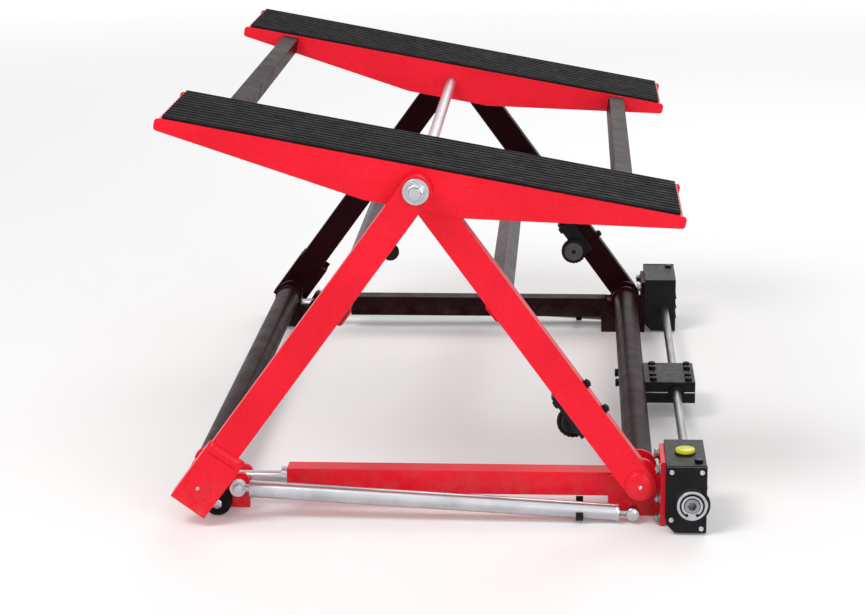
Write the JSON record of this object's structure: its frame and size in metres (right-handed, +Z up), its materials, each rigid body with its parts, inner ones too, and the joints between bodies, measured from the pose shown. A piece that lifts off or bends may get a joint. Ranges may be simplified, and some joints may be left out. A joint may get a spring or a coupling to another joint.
{
  "type": "mobile car lift",
  "caption": "Folding tilt lift: leg frames at both sides raise a tilting platform by screws in telescopic base tubes.",
  "frame": {"origin": "middle of the overall box, on the floor", "axes": "+Z up, +X towards the drive end with the gearboxes, +Y from the near frame to the far frame"},
  "size_m": [0.888, 1.4316, 0.6706],
  "materials": {
    "red_paint": "gloss",
    "dark_frame_paint": "satin",
    "grey_paint": "satin",
    "black_casting": "satin",
    "black_bolts": "oxidised",
    "zinc_plate": "bright zinc",
    "bare_steel": "machined",
    "nut_bronze": "machined",
    "level_plastic": "gloss",
    "black_rubber": "matt"
  },
  "bodies": {
    "base": {"near_drive_foot": "red_paint", "far_drive_foot": "dark_frame_paint", "drive_cross_pipe": "dark_frame_paint", "middle_bearing_block": "black_casting", "middle_block_bolts": "black_bolts", "near_base_tube": "red_paint", "far_base_tube": "dark_frame_paint", "guide_collars": "zinc_plate", "strut_clips": "black_casting", "near_gearbox_case": "black_casting", "far_gearbox_case": "black_casting", "gearbox_covers": "black_casting", "gearbox_bolts": "zinc_plate", "socket_rings": "zinc_plate", "bubble_level": "level_plastic"},
    "drive_line": {"drive_shaft": "bare_steel", "drive_sockets": "bare_steel", "shaft_bevel_gears": "bare_steel"},
    "near_screw": {"near_lift_screw": "bare_steel", "near_screw_gear": "bare_steel"},
    "far_screw": {"far_lift_screw": "bare_steel", "far_screw_gear": "bare_steel"},
    "front_legs": {"near_front_leg": "red_paint", "far_front_leg": "dark_frame_paint", "front_cross_bar": "grey_paint", "near_wheel_bracket": "black_casting", "far_wheel_bracket": "black_casting", "wheel_bracket_bolts": "black_bolts"},
    "near_wheel": {"near_wheel_tyre": "black_rubber", "near_wheel_hub": "grey_paint"},
    "far_wheel": {"far_wheel_tyre": "black_rubber", "far_wheel_hub": "grey_paint"},
    "rear_legs": {"near_rear_leg": "red_paint", "far_rear_leg": "dark_frame_paint", "leg_sleeves": "red_paint", "rear_cross_bar": "grey_paint", "bump_stops": "black_rubber"},
    "carriage": {"glide_cross_pipe": "dark_frame_paint", "near_glide_foot": "red_paint", "far_glide_foot": "dark_frame_paint", "near_inner_tube": "zinc_plate", "far_inner_tube": "zinc_plate", "travel_nuts": "nut_bronze", "roller_bolts": "zinc_plate"},
    "near_floor_roller": {"near_roller": "black_rubber"},
    "far_floor_roller": {"far_roller": "black_rubber"},
    "near_strut_outer": {"near_strut_tube": "zinc_plate"},
    "far_strut_outer": {"far_strut_tube": "zinc_plate"},
    "near_strut_inner": {"near_strut_rod": "bare_steel"},
    "far_strut_inner": {"far_strut_rod": "bare_steel"},
    "top_shaft": {"pivot_shaft": "zinc_plate", "pivot_nuts": "zinc_plate"},
    "platform": {"near_side_plate": "red_paint", "far_side_plate": "red_paint", "inner_side_plates": "red_paint", "near_deck": "red_paint", "far_deck": "red_paint", "near_rubber_mat": "black_rubber", "far_rubber_mat": "black_rubber", "platform_cross_tubes": "dark_frame_paint"}
  },
  "joints": [
    {"name": "lift", "type": "hinge", "parent": "base", "child": "front_legs", "pos_m": [0.32699, 0, 0.068], "axis": [0, 1, 0], "range_deg": [-47.9, 0]},
    {"name": "leg_fold", "type": "hinge", "parent": "front_legs", "child": "rear_legs", "pos_m": [-0.02947, 0, 0.55683], "axis": [0, 1, 0], "range_deg": [0, 95.8]},
    {"name": "carriage_level", "type": "hinge", "parent": "rear_legs", "child": "carriage", "pos_m": [-0.38593, 0, 0.068], "axis": [0, 1, 0], "range_deg": [-47.9, 0]},
    {"name": "top_shaft_turn", "type": "hinge", "parent": "front_legs", "child": "top_shaft", "pos_m": [-0.02947, 0, 0.55683], "axis": [0, 1, 0], "range_deg": [0, 37.41]},
    {"name": "platform_tilt", "type": "hinge", "parent": "top_shaft", "child": "platform", "pos_m": [-0.02947, 0, 0.55683], "axis": [0, -1, 0], "range_deg": [-2, 25]},
    {"name": "drive_turn", "type": "hinge", "parent": "base", "child": "drive_line", "pos_m": [0.40899, 0, 0.051], "axis": [0, 1, 0], "continuous": true},
    {"name": "near_screw_turn", "type": "hinge", "parent": "base", "child": "near_screw", "pos_m": [0.32699, -0.583, 0.051], "axis": [1, 0, 0], "continuous": true},
    {"name": "far_screw_turn", "type": "hinge", "parent": "base", "child": "far_screw", "pos_m": [0.32699, 0.583, 0.051], "axis": [1, 0, 0], "continuous": true},
    {"name": "near_wheel_roll", "type": "hinge", "parent": "front_legs", "child": "near_wheel", "pos_m": [0.21784, -0.6145, 0.16168], "axis": [0, 1, 0], "continuous": true},
    {"name": "far_wheel_roll", "type": "hinge", "parent": "front_legs", "child": "far_wheel", "pos_m": [0.21784, 0.6145, 0.16168], "axis": [0, 1, 0], "continuous": true},
    {"name": "near_roller_roll", "type": "hinge", "parent": "carriage", "child": "near_floor_roller", "pos_m": [-0.36394, -0.628, 0.023], "axis": [0, 1, 0], "continuous": true},
    {"name": "far_roller_roll", "type": "hinge", "parent": "carriage", "child": "far_floor_roller", "pos_m": [-0.36394, 0.628, 0.023], "axis": [0, 1, 0], "continuous": true},
    {"name": "near_strut_rear", "type": "hinge", "parent": "carriage", "child": "near_strut_outer", "pos_m": [-0.32793, -0.6445, 0.051], "axis": [0, 1, 0], "range_deg": [-1.59, 0]},
    {"name": "near_strut_front", "type": "hinge", "parent": "base", "child": "near_strut_inner", "pos_m": [0.31599, -0.6445, 0.016], "axis": [0, 1, 0], "range_deg": [-1.59, 0]},
    {"name": "far_strut_rear", "type": "hinge", "parent": "carriage", "child": "far_strut_outer", "pos_m": [-0.32793, 0.6445, 0.051], "axis": [0, 1, 0], "range_deg": [-1.59, 0]},
    {"name": "far_strut_front", "type": "hinge", "parent": "base", "child": "far_strut_inner", "pos_m": [0.31599, 0.6445, 0.016], "axis": [0, 1, 0], "range_deg": [-1.59, 0]}
  ],
  "couplings": [
    {"joint": "leg_fold", "follows": "lift", "ratio": -2},
    {"joint": "carriage_level", "follows": "lift", "ratio": 1},
    {"joint": "top_shaft_turn", "follows": "lift", "ratio": -0.78079},
    {"joint": "near_strut_rear", "follows": "lift", "ratio": 0.033},
    {"joint": "far_strut_rear", "follows": "lift", "ratio": 0.033},
    {"joint": "near_strut_front", "follows": "lift", "ratio": 0.033},
    {"joint": "far_strut_front", "follows": "lift", "ratio": 0.033},
    {"joint": "near_screw_turn", "follows": "drive_turn", "ratio": -1},
    {"joint": "far_screw_turn", "follows": "drive_turn", "ratio": 1}
  ]
}
